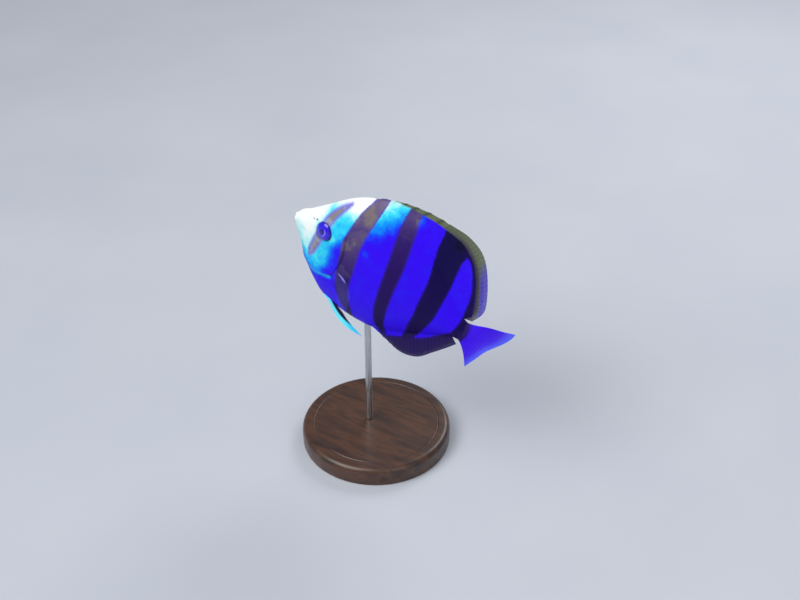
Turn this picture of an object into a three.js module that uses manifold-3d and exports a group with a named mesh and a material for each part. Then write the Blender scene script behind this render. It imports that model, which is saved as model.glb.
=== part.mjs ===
// Ocellated butterflyfish: a life-size still model, held over a round base by one rod.
// Lengths are millimetres. Places and widths of the fish are shares of its standard length.
// The fish is drawn in a frame of its own: x runs from the snout towards the tail, y towards the back
// and z towards the fish's left side. Nested groups pitch it and raise it over the base.

import * as THREE from 'three';
import { mergeVertices } from 'three/addons/utils/BufferGeometryUtils.js';
import loadManifold from 'manifold-3d';

const wasm = await loadManifold();
wasm.setup();
const radians = THREE.MathUtils.degToRad;
const { clamp, lerp, smoothstep } = THREE.MathUtils;

// Driving sizes.
const standardLength = 120;      // from the snout to the end of the tail stalk
const headUp = radians(22);      // the fish hangs with its head raised
const seam = 0.3;                // gap between two pieces that meet
const clearance = 60;            // from the top of the base to the lowest fin
const baseRadius = 46;
const baseHeight = 12;
const rodRadius = 2;
const socketDepth = 3;           // how far the rod reaches into the belly

// A place in the side view, given as shares of the standard length.
const at = (x, y) => new THREE.Vector2(x * standardLength, y * standardLength);
const curveThrough = (...points) => new THREE.SplineCurve(points.map(([x, y]) => at(x, y)));

// A height over x that passes smoothly through a few points and never overshoots them.
function lineThrough(...points) {
  const steps = points.slice(1).map(([x, y], i) => (y - points[i][1]) / (x - points[i][0]));
  const slopes = points.map((_, i) => {
    const [before, after] = [steps[i - 1] ?? steps[i], steps[i] ?? steps[i - 1]];
    return before * after <= 0 ? 0 : (2 * before * after) / (before + after);
  });
  return (x) => {
    const above = points.findIndex(([place]) => place > x);
    const i = above < 0 ? points.length - 2 : Math.max(above - 1, 0);
    const width = points[i + 1][0] - points[i][0];
    const t = clamp((x - points[i][0]) / width, 0, 1);
    const rise = points[i][1] * (1 + 2 * t) * (1 - t) ** 2 + points[i + 1][1] * t ** 2 * (3 - 2 * t);
    return rise + width * t * (1 - t) * (slopes[i] * (1 - t) - slopes[i + 1] * t);
  };
}

// The flesh, without its fins: back, belly, the level where it is widest, and half its width.
const backLine = lineThrough([0, 0.042], [0.05, 0.078], [0.12, 0.155], [0.25, 0.3], [0.33, 0.358],
  [0.42, 0.392], [0.52, 0.397], [0.65, 0.352], [0.8, 0.243], [0.9, 0.135], [0.96, 0.07], [1.04, 0.05]);
const bellyLine = lineThrough([0, -0.04], [0.05, -0.085], [0.12, -0.19], [0.2, -0.27], [0.29, -0.324],
  [0.42, -0.338], [0.54, -0.328], [0.66, -0.28], [0.8, -0.18], [0.9, -0.1], [0.96, -0.064], [1.04, -0.052]);
const widestLine = lineThrough([0, 0], [0.2, 0.015], [0.5, 0.01], [1.04, 0]);
const halfWidth = lineThrough([0, 0.026], [0.05, 0.037], [0.12, 0.053], [0.2, 0.07], [0.3, 0.087],
  [0.42, 0.095], [0.55, 0.09], [0.7, 0.07], [0.85, 0.044], [0.95, 0.029], [1.04, 0.014]);
const fleshEnd = 1.04;
const snoutRound = 0.035;
const endRound = 0.02;

// The flesh closes in a round at both ends: the share is 0 at each tip and 1 past the rounded length.
function roundedEnds(x) {
  const snout = Math.min(x / snoutRound, 1);
  const end = Math.min((fleshEnd - x) / endRound, 1);
  return Math.sqrt((1 - (1 - snout) ** 2) * (1 - (1 - end) ** 2));
}

// The rear edge of the gill cover, as a place along the fish for each height. The cover swells
// gently ahead of that edge, so that it stands proud of the flank behind it.
const gillEdge = lineThrough([-0.21, 0.11], [-0.2, 0.17], [-0.18, 0.23], [-0.14, 0.285], [-0.06, 0.318],
  [0.03, 0.322], [0.12, 0.302], [0.2, 0.305], [0.4, 0.335]);
function gillSwell(x, y) {
  const alongCover = smoothstep(x, gillEdge(y) - 0.1, gillEdge(y));
  const besideCover = 1 - smoothstep(Math.abs(y + 0.04), 0.1, 0.17);
  return 0.006 * alongCover * besideCover;
}
const noSwell = () => 0;

// A point of the flesh: x along the fish, and a turn round the section from the left side upwards.
// The section is an oval whose back, and whose underside towards the tail, narrow to a soft edge.
function fleshPoint(x, turn, grown, swell) {
  const [across, up] = [Math.cos(turn), Math.sin(turn)];
  const middle = widestLine(x);
  const reach = up > 0 ? backLine(x) - middle : middle - bellyLine(x);
  const edge = up > 0 ? smoothstep(x, 0.05, 0.35) : smoothstep(x, 0.45, 0.7);
  const y = middle + reach * roundedEnds(x) * up;
  const side = halfWidth(x) * roundedEnds(x) * Math.abs(across) ** (1 + 0.3 * edge);
  return new THREE.Vector3(
    x * standardLength,
    y * standardLength + grown * up,
    Math.sign(across) * (side + swell(x, y) * Math.abs(across)) * standardLength + grown * across,
  );
}

// A closed geometry from rings of points, with one more point at each end.
function closeRings(start, rings, end) {
  const turns = rings[0].length;
  const points = [start, ...rings.flat(), end];
  const faces = [];
  for (let j = 0; j < turns; j += 1) {
    const k = (j + 1) % turns;
    faces.push(0, 1 + k, 1 + j);
    for (let i = 0; i < rings.length - 1; i += 1) {
      const [a, b] = [1 + i * turns, 1 + (i + 1) * turns];
      faces.push(a + j, a + k, b + j, a + k, b + k, b + j);
    }
    const final = points.length - 1 - turns;
    faces.push(points.length - 1, final + j, final + k);
  }
  return new THREE.BufferGeometry().setFromPoints(points).setIndex(faces);
}

// Stations crowd towards the snout, where the outline turns most, and turns towards back and belly.
const fleshStations = 36;
const fleshTurns = 36;
function fleshGeometry(grown = 0, swell = noSwell) {
  const rings = Array.from({ length: fleshStations }, (_, i) => {
    const share = (i + 1) / (fleshStations + 1);
    const x = fleshEnd * (0.35 * share ** 2.4 + 0.65 * Math.sin((share * Math.PI) / 2) * share);
    return Array.from({ length: fleshTurns }, (_unused, j) => {
      const even = (2 * Math.PI * j) / fleshTurns;
      return fleshPoint(x, even + 0.25 * Math.sin(2 * even), grown, swell);
    });
  });
  const start = new THREE.Vector3(-grown, 0, 0);
  const end = new THREE.Vector3(fleshEnd * standardLength + grown, 0, 0);
  return closeRings(start, rings, end);
}

// Half the thickness of the flesh at a place in the side view, in millimetres.
function fleshHalf(x, y) {
  const middle = widestLine(x);
  const reach = y > middle ? backLine(x) - middle : middle - bellyLine(x);
  const edge = y > middle ? smoothstep(x, 0.05, 0.35) : smoothstep(x, 0.45, 0.7);
  const inside = Math.max(1 - ((y - middle) / reach) ** 2, 0);
  return halfWidth(x) * inside ** (0.5 + 0.15 * edge) * standardLength;
}

// The rays of a fin, evenly spaced over a stretch of it. The crest is the height of a ray's ridge at its
// root, and the notch is how far the membrane's edge falls short of the tips of its rays.
function raysOver(count, [from, to], crest, notch) {
  const span = (to - from) / count;
  return Array.from({ length: count }, (_, i) => ({ share: from + (i + 0.5) * span, span, crest, notch }));
}

// A fin is a sheet on the left of its root curve, out to the curve of its margin. It is as thick at
// the root as the flesh there. Each ray is a low ridge in both faces, three columns of points wide,
// and both faces are split into triangles alike, so that the sheet keeps its thickness where it bends.
const finRows = 5;
function finGeometry({ rays, root, margin, rootHalf, edgeHalf = 0.26, bend = (point) => point }) {
  const columns = rays.flatMap(({ share, span, crest, notch }) => [
    { share: share - 0.26 * span, raised: 0, short: notch },
    { share, raised: crest, short: 0 },
    { share: share + 0.26 * span, raised: 0, short: notch },
  ]);
  columns.unshift({ share: 0, raised: 0, short: rays[0].notch });
  columns.push({ share: 1, raised: 0, short: rays.at(-1).notch });
  const points = [];
  for (const face of [1, -1]) {
    for (const { share, raised, short } of columns) {
      const [line, tip] = [root.getPoint(share), margin.getPoint(share)];
      const along = root.getTangent(share);
      const from = new THREE.Vector2(line.x - along.y * seam / 2, line.y + along.x * seam / 2);
      const to = tip.clone().lerp(from, Math.min(short / tip.distanceTo(from), 0.3));
      const thick = Math.max(rootHalf(line.x / standardLength, line.y / standardLength), edgeHalf + 0.2);
      for (let row = 0; row <= finRows; row += 1) {
        const out = row / finRows;
        const half = lerp(edgeHalf, thick, (1 - out) ** 2.2) + raised * (1 - 0.8 * out);
        const place = from.clone().lerp(to, out);
        points.push(bend(new THREE.Vector3(place.x, place.y, face * half)));
      }
    }
  }
  const stride = finRows + 1;
  const far = columns.length * stride;
  const faces = [];
  const quad = (a, b, c, d) => faces.push(a, b, c, a, c, d);
  for (let start = 0; start < far - stride; start += stride) {
    for (let a = start; a < start + finRows; a += 1) {
      quad(a, a + stride, a + stride + 1, a + 1);
      quad(far + a, far + a + 1, far + a + stride + 1, far + a + stride);
    }
    const edge = start + finRows;
    quad(start, far + start, far + start + stride, start + stride);
    quad(edge, edge + stride, far + edge + stride, far + edge);
  }
  for (let row = 0; row < finRows; row += 1) {
    const last = far - stride + row;
    quad(row, row + 1, far + row + 1, far + row);
    quad(last, far + last, far + last + 1, last + 1);
  }
  return new THREE.BufferGeometry().setFromPoints(points).setIndex(faces);
}

// A three.js geometry becomes a solid that can be joined and cut. Faces drawn inwards are turned.
function solidOf(geometry) {
  const plain = new THREE.BufferGeometry().setAttribute('position', geometry.getAttribute('position'));
  const welded = mergeVertices(plain.setIndex(geometry.index), 1e-5);
  const build = (triVerts) => new wasm.Manifold(new wasm.Mesh({
    numProp: 3,
    vertProperties: welded.getAttribute('position').array,
    triVerts,
  }));
  const outward = build(new Uint32Array(welded.index.array));
  return outward.volume() > 0 ? outward : build(new Uint32Array(welded.index.array).reverse());
}

// Only the largest closed piece of a solid is kept, as one named mesh.
function meshOf(name, solid, material) {
  const largest = solid.decompose().reduce((best, piece) => (piece.volume() > best.volume() ? piece : best));
  const { vertProperties, triVerts } = largest.getMesh();
  const geometry = new THREE.BufferGeometry();
  geometry.setAttribute('position', new THREE.BufferAttribute(vertProperties, 3));
  geometry.setIndex(new THREE.BufferAttribute(triVerts, 1));
  geometry.computeVertexNormals();
  const mesh = new THREE.Mesh(geometry, material);
  mesh.name = name;
  return mesh;
}

// A line in the side view moved sideways, to its left for a positive distance.
function besideLine(line, distance) {
  return line.map((point, i) => {
    const ahead = line[Math.min(i + 1, line.length - 1)];
    const along = ahead.clone().sub(line[Math.max(i - 1, 0)]).normalize();
    return new THREE.Vector2(point.x - along.y * distance, point.y + along.x * distance);
  });
}

// A prism right through the fish, from its outline in the side view.
function prismOf(outline) {
  const shape = new THREE.Shape(outline);
  const geometry = new THREE.ExtrudeGeometry(shape, { depth: standardLength, bevelEnabled: false });
  return solidOf(geometry.translate(0, 0, -standardLength / 2));
}

// A seam parts a solid along a line in the side view. The piece on the left of the line comes first,
// closed by the far corners, and the rest of the solid second, with half the gap taken from each.
function partAlong(solid, line, farCorners) {
  const [inner, outer] = [seam / 2, -seam / 2].map((move) => [...besideLine(line, move), ...farCorners]);
  return [solid.intersect(prismOf(inner)), solid.subtract(prismOf(outer))];
}

// The dorsal fin grows from just below the line of the back, and peaks over the rear third.
const dorsalRoot = curveThrough([0.352, 0.366], [0.4, 0.372], [0.46, 0.38], [0.53, 0.377], [0.63, 0.341],
  [0.72, 0.281], [0.8, 0.216], [0.87, 0.147], [0.92, 0.097], [0.955, 0.07]);
const dorsalFin = solidOf(finGeometry({
  rays: [...raysOver(6, [0, 0.44], 0.4, 0.9), ...raysOver(29, [0.44, 1], 0.18, 0.3)],
  root: dorsalRoot,
  margin: curveThrough([0.372, 0.388], [0.435, 0.418], [0.51, 0.449], [0.6, 0.471], [0.705, 0.482],
    [0.81, 0.481], [0.905, 0.437], [0.98, 0.315], [1.026, 0.18], [1.0, 0.085]),
  rootHalf: fleshHalf,
}));

// The anal fin grows from the lower edge behind the belly. Its curves run forwards.
const analRoot = curveThrough([0.95, -0.066], [0.91, -0.09], [0.86, -0.127], [0.8, -0.172], [0.74, -0.218],
  [0.68, -0.257], [0.62, -0.29], [0.575, -0.318]);
const analFin = solidOf(finGeometry({
  rays: [...raysOver(19, [0, 0.76], 0.18, 0.3), ...raysOver(3, [0.76, 1], 0.4, 1.0)],
  root: analRoot,
  margin: curveThrough([0.985, -0.092], [0.953, -0.15], [0.908, -0.222], [0.862, -0.296], [0.805, -0.34],
    [0.735, -0.352], [0.665, -0.338], [0.6, -0.326]),
  rootHalf: fleshHalf,
}));

// The tail fin fans out of the stalk, and twists out of the midline as in a slow beat of the tail.
const tailTwist = radians(34);
const tailSweep = 0.02 * standardLength;
function bendTail(point) {
  const out = smoothstep(point.x / standardLength, 0.99, 1.15);
  const turned = point.clone().applyAxisAngle(new THREE.Vector3(1, 0, 0), -tailTwist * out);
  return turned.add(new THREE.Vector3(0, 0, tailSweep * out ** 2));
}
const tailRoot = curveThrough([0.984, 0.056], [0.993, 0.028], [0.996, 0], [0.993, -0.028], [0.984, -0.056]);
const tailFin = solidOf(finGeometry({
  rays: raysOver(17, [0, 1], 0.2, 0.3),
  root: tailRoot,
  margin: curveThrough([1.197, 0.143], [1.155, 0.074], [1.12, 0], [1.101, -0.073], [1.084, -0.135]),
  rootHalf: fleshHalf,
  bend: bendTail,
}));

// Seams. The gill line runs up the rear edge of the gill cover and on to the nape.
const gillHeights = [-0.21, -0.2, -0.19, -0.175, -0.155, -0.13, -0.1, -0.06, -0.02, 0.03, 0.08, 0.12, 0.2,
  0.3, 0.46];
const gillLine = [at(-0.02, -0.235), ...gillHeights.map((y) => at(gillEdge(y), y))];
const dorsalLine = [at(0.345, 0.41), ...dorsalRoot.getPoints(36), at(1.1, 0.07)];
const analLine = [at(1.1, -0.066), ...analRoot.getPoints(28), at(0.57, -0.36)];
const tailLine = [at(0.984, 0.2), ...tailRoot.getPoints(16), at(0.984, -0.2)];
const stalkCurve = curveThrough([0.935, 0.2], [0.93, 0.05], [0.925, 0], [0.93, -0.05], [0.935, -0.2]);
const stalkLine = stalkCurve.getPoints(8);

// The flesh is one solid. The seams take off its crest under the fins, and part it into three.
const aboveBack = [at(1.1, 0.6), at(0.2, 0.6)];
const belowBelly = [at(0.5, -0.5), at(1.2, -0.5)];
const behindTail = [at(1.4, -0.4), at(1.4, 0.4)];
const behindStalk = [at(1.1, -0.2), at(1.1, 0.2)];
const beforeGill = [at(-0.2, 0.46), at(-0.2, -0.235)];
const [, belowDorsal] = partAlong(solidOf(fleshGeometry()), dorsalLine, aboveBack);
const [, aboveAnal] = partAlong(belowDorsal, analLine, belowBelly);
const [, beforeTail] = partAlong(aboveAnal, tailLine, behindTail);
const [tailStalk, beforeStalk] = partAlong(beforeTail, stalkLine, behindStalk);
const [, trunkBlank] = partAlong(beforeStalk, gillLine, beforeGill);
const [headBlank] = partAlong(solidOf(fleshGeometry(0, gillSwell)), gillLine, beforeGill);

// Each eye is a flattened ball that stands a little out of the side of the head. It is turned forwards
// and up by small angles, to lie in the head's own slope.
const eyePlace = at(0.187, 0.066);
const eyeRadius = 5.6;
const eyeDepth = 2.4;
const eyeLevel = 6.8;
const eyeTurn = radians(11);
const eyeLift = radians(5);
function eyeBall(side, grown) {
  const ball = new THREE.SphereGeometry(1, 28, 14).rotateX(Math.PI / 2);
  ball.scale(eyeRadius + grown, eyeRadius + grown, eyeDepth + grown);
  ball.rotateX(-side * eyeLift).rotateY(-side * eyeTurn);
  return solidOf(ball.translate(eyePlace.x, eyePlace.y, side * eyeLevel));
}

// The lips are two rolls round the tip of the snout, from one corner of the mouth to the other.
const mouthCorner = at(0.036, -0.014);
const mouthFront = at(-0.001, -0.002);
const mouthHalf = 0.0275 * standardLength;
const lipRadius = 1.15;
function lip(above) {
  const lift = above * lipRadius * 0.95;
  const path = new THREE.CatmullRomCurve3([-1, -0.72, 0, 0.72, 1].map((across) => {
    const back = across ** 2;
    const x = lerp(mouthFront.x, mouthCorner.x, back);
    const y = lerp(mouthFront.y + lift, mouthCorner.y + 0.3 * lift, back);
    return new THREE.Vector3(x + lipRadius * 0.55, y, across * mouthHalf * 0.94);
  }));
  const section = new THREE.Shape().absarc(0, 0, lipRadius, 0, 2 * Math.PI);
  return solidOf(new THREE.ExtrudeGeometry(section, {
    steps: 12, curveSegments: 5, bevelEnabled: false, extrudePath: path,
  }));
}

// A slot through the whole head, drawn in the side view as a line that has width.
function slotAlong(line, width) {
  return prismOf([...besideLine(line, width / 2), ...besideLine(line, -width / 2).reverse()]);
}
const mouthSlot = slotAlong([at(-0.05, 0.002), mouthFront, mouthCorner], 0.35);

// The fold of the cheek is a shallow groove: its slot spares the flesh shrunk by the groove's depth.
const cheekCurve = curveThrough([0.25, 0.07], [0.255, 0.0], [0.243, -0.08], [0.202, -0.14], [0.14, -0.165]);
const cheekFold = slotAlong(cheekCurve.getPoints(14), 0.7).subtract(solidOf(fleshGeometry(-0.45, gillSwell)));

// The nostrils are two small pits ahead of each eye.
function nostril([x, y, radius], side) {
  const pit = new THREE.CylinderGeometry(radius, radius * 0.6, 2, 8).rotateX(side * Math.PI / 2);
  const depth = halfWidth(x) * standardLength - 0.3;
  return solidOf(pit.translate(x * standardLength, y * standardLength, side * depth));
}

// The head is the blank with its lips joined, and with its openings, grooves and sockets cut.
const headParts = { added: [lip(1), lip(-1)], cut: [mouthSlot, cheekFold] };
for (const side of [1, -1]) {
  const nostrils = [[0.124, 0.088, 0.55], [0.109, 0.08, 0.42]].map((sizes) => nostril(sizes, side));
  headParts.cut.push(eyeBall(side, seam), ...nostrils);
}
const headWithLips = headParts.added.reduce((all, roll) => all.add(roll), headBlank);
const head = headParts.cut.reduce((rest, cutter) => rest.subtract(cutter), headWithLips);

// A paired fin is drawn flat, with x along its middle ray and y towards its leading edge. It is placed
// by the point it grows from, the way its middle ray points and the way its leading edge lies. The
// fish's right fin is the left one mirrored. The flesh, grown by the gap, cuts its root to fit.
const fleshAround = solidOf(fleshGeometry(seam, gillSwell));
function pairedFin(sheet, { place, pointing, leading }, side) {
  const along = new THREE.Vector3(...pointing).normalize();
  const across = along.clone().cross(new THREE.Vector3(...leading)).normalize();
  const turn = new THREE.Matrix4().makeBasis(along, across.clone().cross(along), across);
  const root = new THREE.Vector3(...place).multiplyScalar(standardLength);
  const geometry = sheet.clone().applyMatrix4(turn.setPosition(root));
  return solidOf(geometry.applyMatrix4(new THREE.Matrix4().makeScale(1, 1, side))).subtract(fleshAround);
}

// Both bow towards the leading edge, by half a wave over their length.
function bowBy(bow, length) {
  return (point) => {
    const share = clamp(point.x / (length * standardLength), 0, 1);
    const lift = bow * standardLength * Math.sin(Math.PI * share);
    return new THREE.Vector3(point.x, point.y + lift, point.z);
  };
}

// The pectoral fin is a fan that hangs down and back from behind the gill cover.
const pectoralSheet = finGeometry({
  rays: raysOver(15, [0, 1], 0.18, 0.3),
  root: curveThrough([-0.016, 0.02], [-0.02, 0], [-0.016, -0.02]),
  margin: curveThrough([0.166, 0.03], [0.185, 0.01], [0.178, -0.015], [0.152, -0.04], [0.11, -0.055]),
  rootHalf: () => 0.9,
  bend: bowBy(0.04, 0.19),
});
const pectoralStance = {
  place: [0.325, -0.09, 0.083],
  pointing: [0.62, -0.7, 0.29],
  leading: [0.7, 0.7, 0],
};

// The pelvic fin trails beside the belly. Its strong spine leads below.
const pelvicSheet = finGeometry({
  rays: [...raysOver(1, [0, 0.14], 0.5, 0), ...raysOver(5, [0.14, 1], 0.2, 0.3)],
  root: curveThrough([-0.018, 0.012], [-0.02, 0], [-0.018, -0.012]),
  margin: curveThrough([0.25, 0.004], [0.2, -0.016], [0.15, -0.03], [0.1, -0.038]),
  rootHalf: () => 0.9,
  bend: bowBy(0.041, 0.25),
});
const pelvicStance = {
  place: [0.328, -0.3, 0.028],
  pointing: [0.245, -0.052, 0.036],
  leading: [-0.1, -1, 0.1],
};

// Nested groups: the fish pitches about its snout, stands upright and is raised over the base.
const fish = new THREE.Group();
fish.rotation.z = -headUp;
const upright = new THREE.Group();
upright.rotation.x = Math.PI / 2;
upright.add(fish);
const model = new THREE.Group();
model.add(upright);
const pitched = (point) => point.clone().rotateAround(new THREE.Vector2(), -headUp);
const rodRoot = pitched(at(0.55, -0.322));
const rodBehindMiddle = -5;
const lowest = pitched(at(0.76, -0.352)).y;
upright.position.set(rodBehindMiddle - rodRoot.x, 0, baseHeight + clearance - lowest);
model.updateMatrixWorld(true);

// The rod rises from the base into a shallow socket in the belly.
const rodHeight = upright.position.z + rodRoot.y + socketDepth - baseHeight;
function rodGeometry(grown) {
  const rod = new THREE.CylinderGeometry(rodRadius + grown, rodRadius + grown, rodHeight + grown, 24);
  return rod.rotateX(Math.PI / 2).translate(rodBehindMiddle, 0, baseHeight + seam + (rodHeight + grown) / 2);
}
const socket = solidOf(rodGeometry(seam).applyMatrix4(fish.matrixWorld.clone().invert()));
const trunk = trunkBlank.subtract(socket);

// The base is turned, with a rounded shoulder.
const baseProfile = [[0, 0], [baseRadius - 1, 0], [baseRadius, 1], [baseRadius, baseHeight - 3.5],
  [baseRadius - 1, baseHeight - 1.2], [baseRadius - 3.5, baseHeight], [0, baseHeight]];
const baseGeometry = new THREE.LatheGeometry(baseProfile.map(([x, y]) => new THREE.Vector2(x, y)), 56);
baseGeometry.rotateX(Math.PI / 2);

// Finishes.
function finish(color, roughness, metalness = 0) {
  return new THREE.MeshStandardMaterial({ color, roughness, metalness });
}
const scaledSkin = () => finish(0xdfe4f2, 0.35);
const brownFin = () => finish(0x8a7f4c, 0.45);
const clearFin = () => finish(0xcfd2ea, 0.3);

fish.add(
  meshOf('head', head, scaledSkin()),
  meshOf('trunk', trunk, scaledSkin()),
  meshOf('tail_stalk', tailStalk, finish(0x2a201c, 0.4)),
  meshOf('dorsal_fin', dorsalFin, brownFin()),
  meshOf('anal_fin', analFin, brownFin()),
  meshOf('caudal_fin', tailFin, clearFin()),
);
for (const [side, name] of [[1, 'left'], [-1, 'right']]) {
  fish.add(
    meshOf(`eye_${name}`, eyeBall(side, 0), finish(0x1a1420, 0.08)),
    meshOf(`pectoral_fin_${name}`, pairedFin(pectoralSheet, pectoralStance, side), clearFin()),
    meshOf(`pelvic_fin_${name}`, pairedFin(pelvicSheet, pelvicStance, side), clearFin()),
  );
}
model.add(
  meshOf('stand_base', solidOf(baseGeometry), finish(0x3b2417, 0.45)),
  meshOf('stand_rod', solidOf(rodGeometry(0)), finish(0xb9bcc0, 0.3, 1)),
);

export default model;
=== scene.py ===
# %% [markdown]
# # An ocellated butterflyfish on its display stand
# The solids of this model are a still, life-size fish held over a round base by one rod. This lesson
# gives them their looks: skin and scales, fins with fine rays, wet eyes, dark wood and brushed steel.
# Every new shape is a surface worked out with numpy from a few named sizes, because a fish is made of
# smooth curves that are easier to say as formulas than to push about by hand.

# %% Load the solids
import math
import bpy
import numpy as np
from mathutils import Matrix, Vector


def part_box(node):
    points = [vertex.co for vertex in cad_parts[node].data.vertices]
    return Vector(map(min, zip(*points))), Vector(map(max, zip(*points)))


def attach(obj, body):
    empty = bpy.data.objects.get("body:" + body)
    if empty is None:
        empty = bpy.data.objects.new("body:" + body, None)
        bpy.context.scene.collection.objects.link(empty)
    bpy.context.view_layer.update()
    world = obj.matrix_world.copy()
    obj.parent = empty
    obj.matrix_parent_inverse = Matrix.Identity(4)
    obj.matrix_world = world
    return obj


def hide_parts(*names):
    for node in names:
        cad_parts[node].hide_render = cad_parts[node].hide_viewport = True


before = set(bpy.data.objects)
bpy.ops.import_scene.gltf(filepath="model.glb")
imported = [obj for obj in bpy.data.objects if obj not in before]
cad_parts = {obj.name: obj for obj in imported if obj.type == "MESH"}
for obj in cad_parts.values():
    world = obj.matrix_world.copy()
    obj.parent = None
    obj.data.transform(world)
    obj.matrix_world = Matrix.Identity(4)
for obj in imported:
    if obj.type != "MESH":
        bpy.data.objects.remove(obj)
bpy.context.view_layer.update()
print("solids:", sorted(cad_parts))

# %% [markdown]
# ## The fish's own frame
# A fish is easiest to draw lying level: x runs from the snout to the tail, y up to the back and z out
# of its left side, all as shares of its standard length. The model swims with its head raised, so
# one function pitches these places and moves them to where the solids are. Doing it in one place
# keeps every curve below level and easy to read.

# %% From shares of the fish's length to metres
standard_length = 0.120
head_up = math.radians(22)
snout_place = np.array([-0.05171933563, 0.0, 0.14532836734])
mm = 0.001 / standard_length


def turned_by(angle, first, second):
    """Two coordinates turned: the first gains the second's sine, and the second loses the first's."""
    return first * np.cos(angle) + second * np.sin(angle), second * np.cos(angle) - first * np.sin(angle)


def to_world(place):
    """Pitch by head_up about the snout, turn the fish's y upwards, and move the snout to its place."""
    along, up, left = np.moveaxis(place * standard_length, -1, 0)
    x, z = turned_by(head_up, along, up)
    return np.stack([x, -left, z], axis=-1) + snout_place


# %% [markdown]
# ## Curves through a few points
# Outlines are given by a few measured points. A height over x goes through them with slopes that
# never overshoot, so that no bump appears between two points. A free curve, such as the edge of
# a fin, may turn back on itself, so both of its coordinates are cubics of the share of the way along
# it. Both kinds work on whole arrays.

# %% A soft step and a hump
def smooth(value, low, high):
    """0 below low, 1 above high, and 3t^2 - 2t^3 between them."""
    t = np.clip((value - low) / (high - low), 0, 1)
    return t * t * (3 - 2 * t)


def bell(value, width):
    """A round hump: e to the minus (value / width) squared."""
    return np.exp(-((value / width) ** 2))


print("a quarter up a soft step:", smooth(.25, 0, 1), "and a hump at its width:", bell(1, 1).round(3))


# %% Heights and free curves through points
def line_through(*points):
    """A cubic between each two points. Its slope at a point is the harmonic mean of the steps beside it."""
    place, height = np.array(points, float).T
    steps = np.diff(height) / np.diff(place)
    before, after = np.append(steps[:1], steps), np.append(steps, steps[-1:])
    alike = before * after > 0
    slopes = np.where(alike, 2 * before * after / np.where(alike, before + after, 1), 0)

    def line(x):
        """The cubic's height at x, held level past both ends."""
        i = np.clip(np.searchsorted(place, x, side="right") - 1, 0, len(place) - 2)
        width = place[i + 1] - place[i]
        t = np.clip((x - place[i]) / width, 0, 1)
        rise = height[i] * (1 + 2 * t) * (1 - t) ** 2 + height[i + 1] * t**2 * (3 - 2 * t)
        return rise + width * t * (1 - t) * (slopes[i] * (1 - t) - slopes[i + 1] * t)

    return line


def curve_through(*points):
    """A cubic between each two points. It passes a point along the line between the point's neighbours."""
    places = np.array(points, float)
    padded = np.concatenate([places[:1], places, places[-1:]])

    def curve(share):
        """The place at a share of the way. Each stretch takes an equal share."""
        place = np.clip(share, 0, 1) * (len(places) - 1)
        i = np.minimum(place.astype(int), len(places) - 2)
        t = (place - i)[..., None]
        before, start, end, after = (padded[i + k] for k in range(4))
        leave, arrive = (end - before) / 2, (after - start) / 2
        cubic = 2 * start - 2 * end + leave + arrive
        square = 3 * end - 3 * start - 2 * leave - arrive
        return cubic * t**3 + square * t**2 + leave * t + start

    return curve


print("a quarter along an arch of three points:", curve_through((0, 0), (1, 1), (2, 0))(np.array(.25)))


# %% The distance from a curve
def distance_to(curve, x, y, samples=80, signed=False):
    """The distance from places of the side view to a curve: square to its line at the nearest sample."""
    shares = np.linspace(0, 1, samples)
    line = curve(shares)
    ahead = np.gradient(line, axis=0)
    step = np.linalg.norm(ahead, axis=-1)
    ahead = ahead / step[:, None]
    i = ((x[..., None] - line[:, 0]) ** 2 + (y[..., None] - line[:, 1]) ** 2).argmin(axis=-1)
    off_x, off_y = x - line[i, 0], y - line[i, 1]
    along = off_x * ahead[i, 0] + off_y * ahead[i, 1]
    beside = off_x * ahead[i, 1] - off_y * ahead[i, 0]
    share = shares[i] + np.clip(along / step[i], -.5, .5) / (samples - 1)
    away = np.hypot(beside, np.maximum(np.abs(along) - step[i], 0))
    return away * np.where(beside < 0, -1, 1) if signed else away, np.clip(share, 0, 1)


print("from the arch's middle to a place above it:", distance_to(
    curve_through((0, 0), (1, 1), (2, 0)), np.array(1), np.array(1.5))[0])

# %% [markdown]
# ## The flesh
# A butterflyfish is a tall, thin disc with a short snout. Four lines over its length say it all: back,
# belly, the level where it is widest, and half its width. Each section is an oval between
# them, drawn to a softer edge at the back. The lines are those of the solids, so the skin fits them.

# %% Four lines over the fish's length
back_line = line_through((0, .042), (.05, .078), (.12, .155), (.25, .3), (.33, .358), (.42, .392),
                         (.52, .397), (.65, .352), (.8, .243), (.9, .135), (.96, .07), (1.04, .05))
belly_line = line_through((0, -.04), (.05, -.085), (.12, -.19), (.2, -.27), (.29, -.324), (.42, -.338),
                          (.54, -.328), (.66, -.28), (.8, -.18), (.9, -.1), (.96, -.064), (1.04, -.052))
widest_line = line_through((0, 0), (.2, .015), (.5, .01), (1.04, 0))
half_width = line_through((0, .026), (.05, .037), (.12, .053), (.2, .07), (.3, .087), (.42, .095), (.55, .09),
                          (.7, .07), (.85, .044), (.95, .029), (1.04, .014))
flesh_end, snout_round, end_round = 1.006, .035, .02
print("at its middle the flesh is", round(float(back_line(.5) - belly_line(.5)) / mm, 1), "mm deep")


# %% The flesh as a surface of two parameters
def round_ends(x):
    """0 at both tips and 1 past the rounded lengths, by quarter circles."""
    snout, end = np.minimum(x / snout_round, 1), np.minimum((flesh_end - x) / end_round, 1)
    return np.sqrt((1 - (1 - snout) ** 2) * (1 - (1 - end) ** 2))


def section(x, above):
    """The middle of a section, its reach above or below that, and how soft its edge is there."""
    middle = widest_line(x)
    reach = np.where(above, back_line(x) - middle, middle - belly_line(x))
    return middle, reach, np.where(above, smooth(x, .05, .35), smooth(x, .45, .7))


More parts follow.
